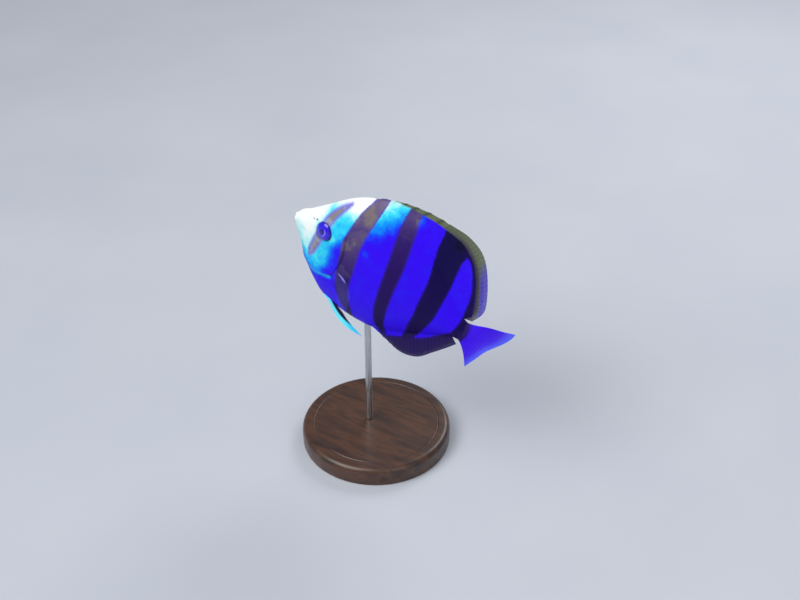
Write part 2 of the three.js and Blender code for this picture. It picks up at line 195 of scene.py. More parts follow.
def flesh(x, turn):
    """An oval section at x: its height goes with the sine of the turn, its width with the cosine."""
    x = np.clip(x, 1e-5, flesh_end - 1e-5)
    across, up = np.cos(turn), np.sin(turn)
    middle, reach, edge = section(x, up > 0)
    side = half_width(x) * round_ends(x) * np.abs(across) ** (1 + .3 * edge)
    return np.stack([x, middle + reach * round_ends(x) * up, np.sign(across) * side], axis=-1)


def flesh_half(x, y):
    """Half the flesh's thickness at a place of the side view."""
    middle, reach, edge = section(x, y > widest_line(x))
    inside = np.maximum(1 - ((y - middle) / reach) ** 2, 0)
    return half_width(x) * inside ** (.5 + .15 * edge)


print("at its middle the flesh is", (2 * flesh_half(np.array(.5), np.array(.01)) / mm).round(1), "mm thick")

# %% [markdown]
# ## The relief of the head
# Close up, a fish's head isn't smooth. The gill cover ends in a free edge, the cheek has a fold, the
# eye lies in a rim, two nostrils sit ahead of it, and the mouth is a short slit. Each is a line or
# point in the side view, with a groove or ridge that depends only on the distance from it. Sculpting
# would do as well, but distances keep each feature exactly where the solids have it.

# %% The lines and points of the head
gill_edge = line_through((-.21, .11), (-.2, .17), (-.18, .23), (-.14, .285), (-.06, .318), (.03, .322),
                         (.12, .302), (.2, .305), (.4, .335))
gill_heights = np.array([-.21, -.2, -.18, -.14, -.1, -.06, -.02, .03, .08, .12, .16, .2])
gill_curve = curve_through(*zip(gill_edge(gill_heights), gill_heights))
cheek_curve = curve_through((.25, .07), (.255, 0), (.243, -.08), (.202, -.14), (.14, -.165))
jaw_curve = curve_through((.045, -.02), (.075, -.012), (.11, -.02), (.135, -.045), (.15, -.085))
mouth_curve = curve_through((-.02, 0), (-.001, -.002), (.018, -.006), (.036, -.014))
eye_place, eye_radius = np.array([.187, .066]), 5.6
nostrils = ((.125, .088, .8 * mm), (.107, .079, .62 * mm))
mound_place = (.331, -.088)
skin_depth = .16 * mm
print("the eye's rim is", eye_radius, "mm in radius")


# %% Grooves and ridges by distance
def past_gill(x, y):
    """The distance behind the gill cover's free edge, less than 0 on the cover."""
    away, _ = distance_to(gill_curve, x, y)
    return np.where(x > gill_edge(y), away, -away)


def from_pectoral(x, y):
    """The distance from the pectoral fin's root, which stands on an upright oval mound."""
    return np.hypot(x - mound_place[0], (y - mound_place[1]) * .8)


def head_relief(x, y):
    """The relief's height over the flesh, and how much painted shade darkens each groove and hole."""
    behind = past_gill(x, y)
    beside = 1 - smooth(np.abs(y + .03), .13, .19)
    relief = .68 * mm * smooth(behind, -.1, -.004) * (1 - smooth(behind, 0, .006)) * beside
    slit = bell(behind - .0075, .0035) * beside
    from_cheek, _ = distance_to(cheek_curve, x, y)
    from_jaw, _ = distance_to(jaw_curve, x, y)
    from_mouth, _ = distance_to(mouth_curve, x, y)
    cheek, jaw = bell(from_cheek, .38 * mm), bell(from_jaw, .45 * mm)
    mouth = bell(from_mouth, .42 * mm) * (1 - smooth(x, .034, .044))
    relief += -.3 * mm * slit - .38 * mm * cheek + .12 * mm * bell(from_cheek - .9 * mm, .5 * mm)
    relief += -.14 * mm * jaw - 1.1 * mm * mouth
    # Painted shade: the gill slit, cheek fold, jaw line, mouth, eye rim and nostrils are darkened where shade
    # falls in them.
    crease_shade = np.maximum.reduce([.55 * slit * smooth(y, -.17, -.11), .35 * cheek, .15 * jaw, mouth])
    from_eye = np.hypot((x - eye_place[0]) * 1.02, y - eye_place[1]) / mm
    relief += -1.9 * mm * (1 - smooth(from_eye, 4.7, 5.75)) + .3 * mm * bell(from_eye - 6.2, .45)
    crease_shade = np.maximum(crease_shade, .5 * bell(from_eye - 5.6, .4))
    for place_x, place_y, radius in nostrils:
        away = np.hypot(x - place_x, y - place_y) / radius
        relief += .13 * mm * bell(away - 1.25, .4) - .5 * mm * (1 - smooth(away, .3, 1))
        crease_shade = np.maximum(crease_shade, 1 - smooth(away, .5, 1.05))
    return relief + .5 * mm * bell(from_pectoral(x, y), .022), np.clip(crease_shade, 0, 1)


print("at the mouth's slit the relief is", (head_relief(*np.array([[.01], [-.004]]))[0] / mm).round(2), "mm")


# %% The flesh raised by its relief
def outward(surface, first, second, step=1.5e-3):
    """The direction straight out of a surface: the cross product of its slopes in both parameters."""
    along = surface(first + step, second) - surface(first - step, second)
    beside = surface(first, second + step) - surface(first, second - step)
    normal = np.cross(along, beside)
    return normal / np.maximum(np.linalg.norm(normal, axis=-1, keepdims=True), 1e-12)


def skin(x, turn, lift=-skin_depth):
    """The flesh with the head's relief added straight out of it, and a lift, less than 0 for inwards."""
    place = flesh(x, turn)
    relief, _ = head_relief(place[..., 0], place[..., 1])
    return place + outward(flesh, x, turn) * (relief + lift)[..., None]


print("a place of the skin on the left flank:", skin(np.array([.5]), np.array([0])).round(3))

# %% [markdown]
# ## The markings
# Five bars cross the fish. The first runs through the eye, the fourth is the broadest and carries
# a black spot at its top, and the fifth runs along the foot of the dorsal fin to the tail stalk.
# Painting them by hand on an image would blur close up. Here each bar is a curve with a width, and
# every vertex keeps its depth inside the nearest bar, so the shader can draw a sharp or soft edge at
# any size. One more field says how far the pale head has turned to the blue of the flank; it also
# carries a painted highlight on the nape and painted shade under the throat.

# %% Bars as curves with widths
bars = (
    # the path from top to bottom, half the width along it, and the shade at its top and bottom
    (((.25, .272), (.228, .235), (.205, .19), (.187, .133), (.174, .06), (.165, -.015), (.155, -.08),
      (.15, -.12)), (.004, .012, .018, .0225, .024, .0225, .019, .006), (0, .06)),
    (((.38, .45), (.376, .39), (.371, .34), (.357, .27), (.348, .19), (.345, .115), (.353, .05), (.363, -.03),
      (.37, -.1), (.378, -.15), (.402, -.207), (.432, -.256), (.462, -.31)),
     (.03, .031, .035, .043, .046, .05, .049, .045, .042, .042, .036, .027, .018), (.13, .62)),
    (((.541, .5), (.54, .44), (.54, .385), (.548, .34), (.564, .25), (.577, .15), (.584, .03), (.59, -.065),
      (.597, -.15), (.609, -.22), (.63, -.285), (.655, -.35)),
     (.03, .032, .036, .041, .043, .042, .038, .0355, .033, .027, .02, .018), (.24, .8)),
    (((.77, .44), (.769, .38), (.767, .34), (.774, .28), (.783, .22), (.79, .15), (.792, .02), (.789, -.04),
      (.778, -.118), (.766, -.2), (.752, -.27)),
     (.07, .069, .065, .059, .054, .051, .049, .044, .037, .028, .022), (.93, .72)),
    (((.745, .432), (.79, .423), (.84, .403), (.876, .372), (.907, .318), (.937, .25), (.955, .19),
      (.968, .12), (.978, .05), (.972, -.02), (.955, -.075)),
     (.045, .04, .022, .011, .011, .012, .015, .022, .028, .031, .028), (.9, .8)))
anal_start, anal_shade = .57, .57
anal_line = line_through((.57, -.36), (.602, -.34), (.641, -.318), (.691, -.286), (.744, -.24), (.802, -.203),
                         (.851, -.155), (.897, -.09), (.94, -.02), (1.3, .6))
olive_line = line_through((.3, .37), (.36, .394), (.405, .408), (.455, .42), (.504, .43), (.551, .438),
                          (.594, .441), (.644, .446), (.689, .445), (.726, .443), (.765, .44), (.8, .43),
                          (.837, .408), (.87, .382), (.905, .336), (.934, .279), (.957, .22), (.979, .158),
                          (.99, .1), (1.3, -.9))
print("the fourth bar is", round(2 * max(bars[3][1]) / mm, 1), "mm wide")


# %% Deep inside a bar, or beside a line
def beside_line(line, x, y, start, end):
    """The signed distance from a height over x, more than 0 above it."""
    def along(share):
        """The line as a curve, by the share of the way from start to end."""
        place = start + (end - start) * share
        return np.stack([place, line(place)], -1)

    away, _ = distance_to(along, x, y)
    return np.where(y > line(x), away, -away)


def depth_in_bars(x, y):
    """How deep each place lies inside the nearest bar, in shares of the length, and that bar's shade."""
    best, shade = np.full(x.shape, -1.0), np.zeros(x.shape)
    for points, halves, (top, bottom) in bars:
        away, share = distance_to(curve_through(*points), x, y)
        half = np.interp(share, np.linspace(0, 1, len(halves)), halves)
        deeper = half - away > best
        best = np.where(deeper, half - away, best)
        shade = np.where(deeper, top + (bottom - top) * share, shade)
    below = np.where(x > anal_start, -beside_line(anal_line, x, y, anal_start, .96), -1)
    return np.maximum(best, below), np.where(below > best, anal_shade, shade)


def past_olive(x, y):
    """The distance outside the line along the dorsal fin where its olive edge starts."""
    return beside_line(olive_line, x, y, .34, .995)


print("depth and shade in the third bar:", depth_in_bars(*np.array([[.58], [.1]])))

# %% Three fields for the whole fish
spot_place, fleck_place = (.785, .412), (.425, .122)
streak_curve = curve_through((.178, -.196), (.218, -.187), (.252, -.168), (.295, -.145))
# The edge runs low along the throat, so the underside turns blue below it; that blue is partly painted shade.
blue_edge = curve_through((.07, -.12), (.13, -.145), (.2, -.14), (.238, -.09), (.245, -.02), (.248, .05),
                          (.275, .11), (.3, .165), (.38, .265), (.44, .335), (.52, .42))


def markings(x, y):
    """Three fields: depth inside a bar in mm, the bar's shade, and how blue the ground is, 0 to 1, with
    painted light and shade.
    """
    depth, shade = depth_in_bars(x, y)
    from_spot = np.hypot(x - spot_place[0], y - spot_place[1])
    shade = np.maximum(shade, 1.0 - smooth(from_spot, .02, .06))
    from_streak, _ = distance_to(streak_curve, x, y)
    behind, _ = distance_to(blue_edge, x, y, signed=True)
    ahead = np.maximum(-behind, 0)
    blue = .5 + (5 + 5 * bell(x - .27, .035)) * np.maximum(behind, 0)
    blue -= (1 + 1.5 * smooth(x, .3, .4)) * ahead + 4 * ahead**2
    # Painted highlight: the nape is made whiter, where light from above falls on it.
    nape = (.34 - .24 * smooth(x, .33, .42)) * smooth(y, .19, .3)
    blue -= smooth(ahead, 0, .04) * (.16 * smooth(x, .18, .12) + nape)
    blue = np.minimum(blue, 1) - .22 * bell(np.hypot(x - fleck_place[0], y - fleck_place[1]), .022)
    blue -= np.maximum(blue - .5, 0) * bell(from_streak, .016)
    return np.stack([depth / mm, shade, np.clip(blue, -.2, 1.4)], axis=-1)


print("the pale cheek's fields:", markings(*np.array([[.1], [0]])).round(2))

# %% [markdown]
# ## Meshes from grids
# A closed surface is a stack of rings. Neighbouring rings are joined by quads, and the first and
# last ring are closed by a point, as on a body, or by a strip of quads across, as on a
# thin fin. One helper makes the quads as whole arrays and hands the mesh its attributes, so
# every piece below needs only its formula.

# %% Quads round a stack of rings
def ring_quads(rings, turns):
    """Quads between each ring and the next, where the last point of a ring joins its first."""
    i, j = np.meshgrid(np.arange(rings - 1), np.arange(turns), indexing="ij")
    k = (j + 1) % turns
    here, beyond = i * turns, (i + 1) * turns
    return np.stack([here + j, beyond + j, beyond + k, here + k], -1).reshape(-1, 4)


def strip_quads(first, turns):
    """Quads straight across one ring, from each point to the one that faces it."""
    j = np.arange(turns // 2 - 1)
    return first + np.stack([j, j + 1, turns - 2 - j, turns - 1 - j], -1)


def capped(rings, tips):
    """The points and faces of a stack of rings, closed by one more point at each end."""
    count, turns, _ = rings.shape
    j = np.arange(turns)
    k = (j + 1) % turns
    tip, last = np.full(turns, count * turns), (count - 1) * turns
    faces = ring_quads(count, turns).tolist() + np.stack([tip, j, k], -1).tolist()
    faces += np.stack([tip + 1, last + k, last + j], -1).tolist()
    return np.concatenate([rings.reshape(-1, 3), tips]), faces


print("a stack of 3 rings of 4 points has", len(ring_quads(3, 4)), "quads round it")


# %% From arrays to a piece in the scene
def put_in_scene(name, data):
    """A new object in the scene."""
    made = bpy.data.objects.new(name, data)
    bpy.context.scene.collection.objects.link(made)
    return made


def make_mesh(name, points, faces, fields, sharp=None):
    """Points in metres become an object, tied to the root. Fields are one row of values a vertex."""
    mesh = bpy.data.meshes.new(name)
    mesh.from_pydata(points.reshape(-1, 3).tolist(), [], faces)
    for field, values in fields.items():
        kind = "FLOAT" if values.ndim == 1 else "FLOAT_VECTOR"
        layer = mesh.attributes.new(field, kind, "POINT")
        layer.data.foreach_set("value" if values.ndim == 1 else "vector", values.astype(np.float32).ravel())
    mesh.shade_smooth()
    if sharp:
        mesh.set_sharp_from_angle(angle=math.radians(sharp))
    piece = put_in_scene(name, mesh)
    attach(piece, "root")
    print(name, len(mesh.vertices), "vertices")
    return piece


print("the solids have", len(bpy.data.meshes), "meshes, and new ones join them")

# %% [markdown]
# ## The skin
# One skin covers head, trunk and tail stalk, so no seam shows where the solids meet. It is a grid of
# stations along the fish and turns round it. The stations crowd over the head, where the relief is
# fine, and open out over the plain flank. A voxel remesh would be even all over, and waste most of
# its faces on the flank.

# %% The skin of the whole fish
def skin_fields(points, crease_shade):
    """The markings, and as tones the painted shade of creases, an even 0.5 where scales vary, and no scale's
    rear.
    """
    return {"markings": markings(points[:, 0], points[:, 1]),
            "tones": np.stack([crease_shade, np.full(crease_shade.shape, .5), np.zeros(crease_shade.shape)], -1)}


skin_stations, skin_turns = 300, 300
station_gap = line_through((0, .12), (.02, .2), (.06, .26), (.33, .29), (.4, .62), (.93, .66), (1.01, .3))
fine = np.linspace(.0006, flesh_end - .0006, 4000)
crowding = np.concatenate([[0], np.cumsum(np.diff(fine) / (station_gap(fine[1:]) * mm))])
stations = np.interp(np.linspace(0, crowding[-1], skin_stations), crowding, fine)
turns = np.linspace(0, 2 * np.pi, skin_turns, endpoint=False)
station_grid, turn_grid = np.meshgrid(stations, turns + .1 * np.sin(2 * turns), indexing="ij")
skin_points = skin(station_grid, turn_grid)
skin_tips = np.array([[0, skin_points[0, :, 1].mean(), 0], [flesh_end, skin_points[-1, :, 1].mean(), 0]])
all_points, faces = capped(skin_points, skin_tips)
_, crease_shade = head_relief(all_points[:, 0], all_points[:, 1])
skin_piece = make_mesh("skin", to_world(all_points), faces, skin_fields(all_points, crease_shade))
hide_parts("head", "trunk", "tail_stalk")

# %% [markdown]
# ## Fins
# A fin is a thin membrane stretched over rays. Spines are stiff and single, soft rays fork towards
# the edge. The membrane is a sheet between the line it grows from and its outer edge, as
# thick at the root as the flesh, and the rays are ridges raised in both of its faces. Separate
# thin cylinders for rays would float on the membrane, and ridges grow out of it as the real ones do.

# %% Spines and forked rays
def soft_rays(count, start, end, crest=.18, notch=.25):
    """A stretch of forked rays: how many, where along the root, the ridge's height and the edge's notch."""
    return {"count": count, "start": start, "end": end, "crest": crest, "notch": notch, "fork": 1}


def spines(count, start, end, crest=.2, notch=.45):
    """A stretch of stiff, single rays."""
    return soft_rays(count, start, end, crest, notch) | {"fork": 0}


def ray_ridge(fin, share, out):
    """1 on the crest of a ray and 0 between rays. A soft ray parts into two ridges, and then four."""
    ridge, crest, notch = (np.zeros(np.broadcast(share, out).shape) for _ in range(3))
    for rays in fin["rays"]:
        here = (share >= rays["start"]) & (share <= rays["end"])
        place = (share - rays["start"]) / (rays["end"] - rays["start"]) * rays["count"]
        off = place - np.floor(np.clip(place, 0, rays["count"] - 1e-6)) - .5
        fork = rays["fork"] * .2 * smooth(out, .3, .85)
        twig = rays["fork"] * .1 * smooth(out, .6, 1)
        width = .17 - .07 * rays["fork"] * smooth(out, .3, 1)
        height = sum(bell(off - side * fork - part * twig, width) for side in (1, -1) for part in (1, -1))
        ridge = np.where(here, np.minimum(height / (4 - 2 * rays["fork"] * smooth(out, .3, .7)), 1), ridge)
        crest = np.where(here, rays["crest"], crest)
        notch = np.where(here, rays["notch"], notch)
    return ridge, crest * mm, notch * mm


print("on a ray's middle the ridge is", ray_ridge({"rays": [spines(1, 0, 1)]}, np.array([.5]), 0)[0])


# %% One formula for every fin
root_gap, least_root = .15 * mm, .3 * mm


def fin_sheet(fin, share, out, face):
    """From the root curve at out = 0 to the edge at out = 1, half as thick as stated, on one face."""
    share, out = np.broadcast_arrays(share, out)
    line, tip = fin["root"](share), fin["margin"](share)
    ahead = fin["root"](np.minimum(share + 1e-4, 1)) - fin["root"](np.maximum(share - 1e-4, 0))
    ahead = ahead / np.linalg.norm(ahead, axis=-1, keepdims=True)
    start = line + root_gap * np.stack([-ahead[..., 1], ahead[..., 0]], -1)
    ridge, crest, notch = ray_ridge(fin, share, out)
    edge_ridge, _, _ = ray_ridge(fin, share, np.ones(out.shape))
    reach = np.linalg.norm(tip - start, axis=-1)
    short = np.minimum(notch * (1 - edge_ridge) / reach, .3)
    place = start + (tip - start) * (out * (1 - short))[..., None]
    thick = np.maximum(fin["root_half"](line[..., 0], line[..., 1]), least_root)
    inside = np.clip(1 - out, 0, 1)
    half = fin["edge_half"] + (thick - fin["edge_half"]) * inside**2.2 + crest * ridge * (1 - .8 * out)
    half = np.where(out < 0, half * (1 + 2 * out), half)
    ripple = fin.get("ripple", 0) * mm * np.sin(share * 31) * smooth(out, .3, 1)
    return fin["bend"](np.stack([place[..., 0], place[..., 1], face * half + ripple], -1))


print("a fin's root is at least", round(2 * least_root / mm, 2), "mm thick")


# %% A fin's two faces as one piece
def fin_piece(name, node, fin, columns, rows, marked=True):
    """A fin's two faces as one closed ring a column. The fish's bars run on over a marked fin."""
    share = np.linspace(0, 1, columns)[:, None]
    out = np.concatenate([np.linspace(-.06, 1, rows), np.linspace(1, -.06, rows)])[None, :]
    face = np.concatenate([np.ones(rows), -np.ones(rows)])[None, :]
    points = fin_sheet(fin, share, out, face)
    turn = 2 * rows
    faces = ring_quads(columns, turn)[:, ::-1].tolist() + strip_quads(0, turn).tolist()
    faces += strip_quads((columns - 1) * turn, turn)[:, ::-1].tolist()
    ridge, _, _ = ray_ridge(fin, share, out)
    share, out = np.broadcast_arrays(share, out)
    flat = points.reshape(-1, 3)
    from_edge = np.linalg.norm(fin["margin"](share) - fin["root"](share), axis=-1) * (1 - out)
    fields = {"web": np.stack([share, np.clip(out, 0, 1), ridge], -1).reshape(-1, 3),
              "edge": np.stack([from_edge / mm, share * 0, share * 0], -1).reshape(-1, 3)}
    if marked:
        fields["markings"] = markings(flat[:, 0], flat[:, 1])
        fields["edge"][:, 1] = past_olive(flat[:, 0], flat[:, 1]) / mm
        fields["edge"][:, 2] = smooth(flat[:, 0], .9, .96)
    piece = make_mesh(name, to_world(flat), faces, fields, sharp=70)
    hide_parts(node)
    return piece


# %% [markdown]
# ## The dorsal, anal and tail fins
# The dorsal fin starts low with short spines and peaks over the rear third of the back. The anal fin
# answers it below. The tail fin is nearly cut square, and is turned over to the left, as in a
# slow beat of the tail. Bending the flat formula afterwards keeps rays and membrane together.

# %% Dorsal and anal fins on the middle plane
def unbent(place):
    """A fin that keeps to the fish's middle plane."""
    return place


def skin_half(x, y):
    """Half the fish's thickness at the skin, which lies a little under the flesh's own surface."""
    return flesh_half(x, y) - .19 * mm


dorsal = {
    "rays": [spines(6, 0, .44), soft_rays(29, .44, 1)],
    "root": curve_through((.352, .366), (.4, .372), (.46, .38), (.53, .377), (.63, .341), (.72, .281),
                          (.8, .216), (.87, .147), (.92, .097), (.955, .07)),
    "margin": curve_through((.372, .388), (.435, .418), (.51, .449), (.6, .471), (.705, .482), (.81, .481),
                            (.905, .437), (.98, .315), (1.026, .18), (1.0, .085)),
    "root_half": skin_half, "edge_half": .1 * mm, "bend": unbent, "ripple": .12}
anal = {
    "rays": [soft_rays(19, 0, .76), spines(3, .76, 1)],
    "root": curve_through((.95, -.066), (.91, -.09), (.86, -.127), (.8, -.172), (.74, -.218), (.68, -.257),
                          (.62, -.29), (.575, -.318)),
    "margin": curve_through((.985, -.092), (.953, -.15), (.908, -.222), (.862, -.296), (.805, -.34),
                            (.735, -.352), (.665, -.338), (.6, -.326)),
    "root_half": skin_half, "edge_half": .1 * mm, "bend": unbent, "ripple": .12}
dorsal_piece = fin_piece("dorsal_membrane", "dorsal_fin", dorsal, 420, 34)
anal_piece = fin_piece("anal_membrane", "anal_fin", anal, 260, 26)

# %% The twisted tail fin
tail_twist, tail_sweep = math.radians(34), .02


def bend_tail(place):
    """Turn the tail fin about the fish's length, more the further out, and sweep it to the left."""
    out = smooth(place[..., 0], .99, 1.15)
    y, z = turned_by(tail_twist * out, place[..., 1], place[..., 2])
    return np.stack([place[..., 0], y, z + tail_sweep * out**2], -1)


tail = {
    "rays": [soft_rays(17, 0, 1, crest=.2)],
    "root": curve_through((.984, .056), (.993, .028), (.996, 0), (.993, -.028), (.984, -.056)),
    "margin": curve_through((1.1963, .1425), (1.192, .113), (1.17, .066), (1.13, 0), (1.103, -.073),
                            (1.08, -.137)),
    "root_half": skin_half, "edge_half": .09 * mm, "bend": bend_tail}
tail_piece = fin_piece("tail_membrane", "caudal_fin", tail, 240, 40)

# %% [markdown]
# ## The paired fins
# Pectoral and pelvic fins come in pairs. Each is drawn flat, with x along its middle ray, and then
# stood on the flank by three things: where it grows, where its middle ray points, and where its
# leading edge lies. The right fin is the left one mirrored, which turns it inside out, so
# its faces are turned round as well.

# %% Stand a flat fin on the flank
def stand_fin(place, pointing, leading, side):
    """Axes from the pointing and leading directions, as three columns, then the fin's root added."""
    along = np.array(pointing) / np.linalg.norm(pointing)
    across = np.cross(along, leading)
    across = across / np.linalg.norm(across)
    axes = np.stack([along, np.cross(across, along), across])

    def stand(flat):
        """Turn the flat fin by the axes, move it to its place, and mirror it for the right side."""
        return (flat @ axes + place) * np.array([1, 1, side])

    return stand


def bow_by(bow, length, stand):
    """Bow the flat fin towards its leading edge by half a sine wave over its length, then stand it."""
    def bend(flat):
        """Lift the flat fin by its bow, and stand it up."""
        lift = bow * np.sin(np.pi * np.clip(flat[..., 0] / length, 0, 1))
        return stand(np.stack([flat[..., 0], flat[..., 1] + lift, flat[..., 2]], -1))

    return bend


def thin_root(x, y):
    """A paired fin is 1.5 mm thick at its root."""
    return np.full(np.shape(x), .75 * mm)


halfway = bow_by(.04, .2, stand_fin((0, 0, 0), (1, 0, 0), (0, 1, 0), 1))(np.array([.1, 0, 0]))
print("halfway along a bowed fin that lies level:", halfway.round(3))

# %% Two pairs of fins
pectoral = {
    "rays": [soft_rays(15, 0, 1)],
    "root": curve_through((-.016, .02), (-.02, 0), (-.016, -.02)),
    "margin": curve_through((.166, .03), (.185, .01), (.178, -.015), (.152, -.04), (.11, -.055)),
    "root_half": thin_root, "edge_half": .07 * mm, "ripple": .15}
pelvic = {
    "rays": [spines(1, 0, .14, crest=.5, notch=0), soft_rays(5, .14, 1, crest=.2, notch=.3)],
    "root": curve_through((-.018, .012), (-.02, 0), (-.018, -.012)),
    "margin": curve_through((.25, .004), (.2, -.016), (.15, -.03), (.1, -.038)),
    "root_half": thin_root, "edge_half": .08 * mm}
pectoral_stance = ((.325, -.09, .083), (.62, -.7, .29), (.7, .7, 0))
pelvic_stance = ((.328, -.3, .028), (.245, -.052, .036), (-.1, -1, .1))
pectoral_pieces, pelvic_pieces = [], []
for side, name in ((1, "left"), (-1, "right")):
    pectoral["bend"] = bow_by(.04, .19, stand_fin(*pectoral_stance, side))
    pelvic["bend"] = bow_by(.041, .25, stand_fin(*pelvic_stance, side))
    pectoral_pieces.append(fin_piece(f"pectoral_{name}", f"pectoral_fin_{name}",
                                     pectoral, 180, 30, False))
    pelvic_pieces.append(fin_piece(f"pelvic_{name}", f"pelvic_fin_{name}",
                                   pelvic, 120, 40, False))
for piece in (pectoral_pieces[1], pelvic_pieces[1]):
    piece.data.flip_normals()

# %% [markdown]
# ## Scales
# Each scale is rooted under the one ahead of it, and its free rear edge stands a little clear. They are
# largest on the flank, small on cheek and nape, and smaller again up the fins. A bump pattern
# would lie flat at a glancing view, so each scale here is a thin plate of mesh. The columns
# stand across the fish, every second one half a row higher, which gives the overlap of roof tiles.
# A line of pores, the lateral line, arches over the flank and darkens the plates that it crosses.

# %% One plate, laid many times
grid = np.meshgrid([0, .28, .56, .82, 1], [-1, -.6, 0, .6, 1], indexing="ij")
plate_out, plate_beside = (values.ravel() for values in grid)
plate_reach = 1.55 * plate_out * (1 - .3 * plate_beside**2)
plate_side = .62 * plate_beside * (1 - .2 * plate_out**2)
plate_lift = -.04 + .08 * plate_out - .018 * plate_beside**2
plate_top = (5 * np.arange(4)[:, None] + np.arange(4)).reshape(-1, 1) + [0, 5, 6, 1]
plate_under = np.array([0, 1, 2, 3, 4, 9, 14, 19, 24, 23, 22, 21, 20, 15, 10, 5])
plate_points, root_point, tip_point = 25, 2, 22
print("a scale's plate has", len(plate_top) + 1, "faces")

# %% Many plates as one mesh
chance = np.random.default_rng(7)
pore_curve = curve_through((.31, .175), (.34, .24), (.4, .3), (.48, .327), (.57, .315), (.66, .268),
                           (.74, .2), (.8, .135), (.86, .08))
patch_half = .0015


def lay_plates(name, points, unwrap, turned_over):
    """Join plates into one mesh: their points, and each plate's place on the unwrapped surface."""
    count = len(points)
    first = plate_points * np.arange(count)[:, None, None]
    top, under = (first + plate_top).reshape(-1, 4), first[:, 0] + plate_under
    if turned_over:
        top, under = top[:, ::-1], under[:, ::-1]
    here, root = points.reshape(-1, 3), np.repeat(points[:, :1], plate_points, axis=1).reshape(-1, 3)
    marks = .85 * markings(here[:, 0], here[:, 1]) + .15 * markings(root[:, 0], root[:, 1])
    from_pores, _ = distance_to(pore_curve, points[..., 0], points[..., 1])
    pores = .4 * bell(from_pores, .3 * mm) * (np.abs(plate_out - .5) < .3)
    variety = np.repeat(chance.random((count, 1)), plate_points, 1)
    tones = np.stack([pores, variety, np.broadcast_to(plate_out, pores.shape)], -1).reshape(-1, 3)
    piece = make_mesh(name, to_world(here), top.tolist() + under.tolist(),
                      {"markings": marks, "tones": tones}, sharp=60)
    patch = unwrap[:, None] + patch_half * np.stack([2 * plate_out - 1, plate_beside], -1)
    corners = np.zeros(len(piece.data.loops), np.int32)
    piece.data.loops.foreach_get("vertex_index", corners)
    unwrapped = patch.reshape(-1, 2)[corners].astype(np.float32)
    piece.data.uv_layers.new(name="OFBake").data.foreach_set("uv", unwrapped.ravel())
    return piece


def spread_out(start, end, gap):
    """Places from start to end, as far apart as a gap that varies: whole numbers of the summed 1 / gap."""
    fine = np.linspace(start, end, 2000)
    passed = np.concatenate([[0], np.cumsum(np.diff(fine) / gap(fine[1:]))])
    return np.interp(np.arange(int(passed[-1]) + 1), passed, fine)


print("places with growing gaps:", spread_out(0, 1, lambda place: .1 + .2 * place).round(2))

# %% Where scales grow, and how large
gap_line = line_through((.08, .85), (.2, 1.0), (.32, 1.25), (.45, 1.55), (.75, 1.5), (.9, 1.15), (1, .9))
eye_bare, pectoral_bare, pelvic_bare = 6.75 * mm, .021, .012
pelvic_root = (.325, -.3)


def scale_gap(x):
    """The distance between columns of scales, largest on the flank."""
    return gap_line(x) * mm


def bare(root_x, root_y, tip_x, tip_y):
    """Where no scale grows: eye, nostrils, the gill cover's edge, and the roots of the fins."""
    none = np.hypot(root_x - eye_place[0], root_y - eye_place[1]) < eye_bare
    none |= np.hypot(tip_x - eye_place[0], tip_y - eye_place[1]) < eye_bare
    for place_x, place_y, radius in nostrils:
        none |= np.hypot(tip_x - .004 - place_x, tip_y - place_y) < radius + .85 * mm
    beside = np.abs(root_y + .03) < .17
    none |= beside & (past_gill(root_x, root_y) < .5 * mm) & (past_gill(tip_x, tip_y) > -.35 * mm)
    none |= from_pectoral(root_x, root_y) < pectoral_bare
    none |= np.hypot(root_x - pelvic_root[0], root_y - pelvic_root[1]) < pelvic_bare
    for fin, above in ((dorsal, 1), (anal, -1)):
        line = fin["root"](np.linspace(0, 1, 200))[::above]
        over = (root_x > line[0, 0]) & (root_x < line[-1, 0])
        none |= over & (above * (root_y - np.interp(root_x, line[:, 0], line[:, 1])) > -.2 * mm)
    return none


print("on the flank the columns are", (scale_gap(.5) / mm).round(2), "mm apart")

# %% Scales of head, flank and tail stalk
turn_table = np.linspace(-2.1, 2.1, 600)
plate_x, plate_turn, plate_lifts = [], [], []
for number, x in enumerate(spread_out(.085, .975, scale_gap)):
    ring = flesh(np.full(turn_table.shape, x), turn_table)
    arc = np.concatenate([[0], np.cumsum(np.linalg.norm(np.diff(ring, axis=0), axis=-1))])
    arc -= np.interp(0, turn_table, arc)
    low, high = np.interp([-np.pi / 2, np.pi / 2], turn_table, arc)
    row_gap = 1.25 * scale_gap(x)
    rows = (np.arange(-70, 70) + .5 * (number % 2)) * row_gap
    rows = rows[(rows > low) & (rows < high)]
    plate_turn.append(np.interp(rows[:, None] + plate_side * row_gap, arc, turn_table))
    plate_x.append(np.broadcast_to(x + plate_reach * scale_gap(x), plate_turn[-1].shape))
    plate_lifts.append(np.broadcast_to(plate_lift * scale_gap(x), plate_turn[-1].shape))
plate_x, plate_turn, plate_lifts = (np.concatenate(part) for part in (plate_x, plate_turn, plate_lifts))
flank_points = skin(plate_x, plate_turn, plate_lifts - skin_depth)
keep = ~bare(*flank_points[:, root_point, :2].T, *flank_points[:, tip_point, :2].T)
flank_points = flank_points[keep]
unwrap = np.stack([plate_x[keep, root_point], (plate_turn[keep, root_point] + 1.8) / 3.6], -1)
scale_pieces = [lay_plates("scales_left", flank_points, unwrap, False),
                lay_plates("scales_right", flank_points * [1, 1, -1], unwrap, True)]

